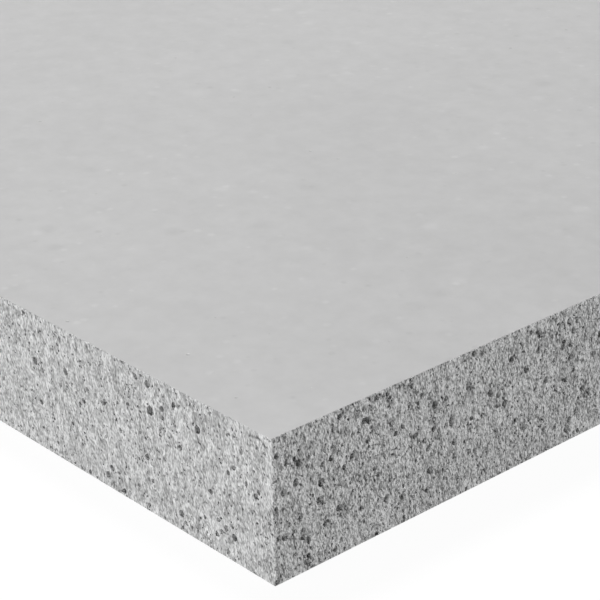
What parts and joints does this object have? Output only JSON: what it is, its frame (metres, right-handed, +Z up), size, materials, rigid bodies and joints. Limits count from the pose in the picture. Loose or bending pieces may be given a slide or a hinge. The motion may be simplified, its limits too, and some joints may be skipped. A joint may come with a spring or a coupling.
{
  "type": "drywall sheet",
  "caption": "Rectangular drywall sheet with square-sawn edges, for lining walls and ceilings.",
  "frame": {"origin": "centre of the underside, on the plane that the sheet lies on", "axes": "+X along the sheet's length, +Y across its width, +Z up through its thickness, out of the face"},
  "size_m": [2.4, 1.2, 0.0125],
  "materials": {
    "gypsum_board": "matt"
  },
  "bodies": {
    "root": {"gypsum_board": "gypsum_board"}
  },
  "joints": []
}
